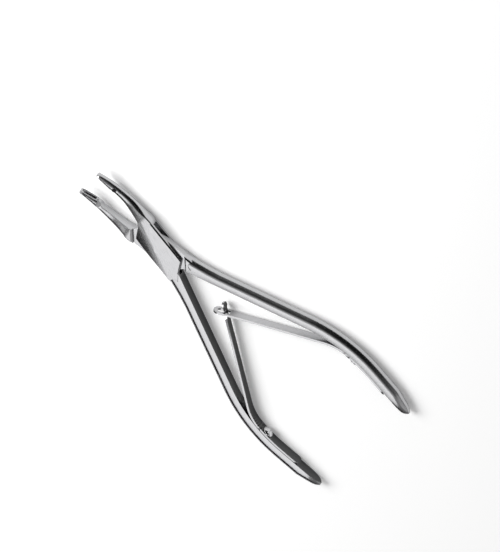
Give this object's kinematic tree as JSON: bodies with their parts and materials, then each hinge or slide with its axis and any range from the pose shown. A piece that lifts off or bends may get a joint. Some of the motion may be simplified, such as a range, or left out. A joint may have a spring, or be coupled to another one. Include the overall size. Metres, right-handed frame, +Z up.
{
  "type": "bone rongeur",
  "caption": "Hand-held bone rongeur with curved spoon jaws, a box-lock pivot, slim bowed handles and interlocking leaf springs that hold it open.",
  "frame": {"origin": "on the pivot's axis, in the plane of the flat underside of the box, on which the instrument rests", "axes": "+X along the instrument from the pivot to the jaws, halfway between the two handles; +Z up out of the flat of the instrument, the side to which the jaws curve; +Y to the side of the female half's handle"},
  "size_m": [0.1384, 0.0596, 0.0064],
  "materials": {
    "satin_steel": "satin polished stainless steel",
    "spring_steel": "polished stainless spring steel",
    "screw_steel": "polished stainless steel"
  },
  "bodies": {
    "female_half": {"female_half": "satin_steel", "pivot_pin": "satin_steel", "lower_spring_screw": "screw_steel"},
    "male_half": {"male_half": "satin_steel", "upper_spring_screw": "screw_steel"},
    "lower_spring": {"lower_spring": "spring_steel"},
    "upper_spring": {"upper_spring": "spring_steel"}
  },
  "joints": [
    {"name": "jaw_pivot", "type": "hinge", "parent": "female_half", "child": "male_half", "pos_m": [0, 0, 0.0026], "axis": [0, 0, -1], "range_deg": [0, 14.9], "stiffness_Nm_per_rad": 1.2, "springref_deg": -17.19},
    {"name": "lower_spring_flex", "type": "hinge", "parent": "female_half", "child": "lower_spring", "pos_m": [-0.06249, 0.02043, 0.0026], "axis": [0, 0, 1], "range_deg": [0, 7.55], "deforming": ["lower_spring"]},
    {"name": "upper_spring_flex", "type": "hinge", "parent": "male_half", "child": "upper_spring", "pos_m": [-0.06249, -0.02043, 0.0026], "axis": [0, 0, -1], "range_deg": [0, 7.55], "deforming": ["upper_spring"]}
  ],
  "couplings": [
    {"joint": "lower_spring_flex", "follows": "jaw_pivot", "ratio": 0.5064},
    {"joint": "upper_spring_flex", "follows": "jaw_pivot", "ratio": 0.5064}
  ]
}
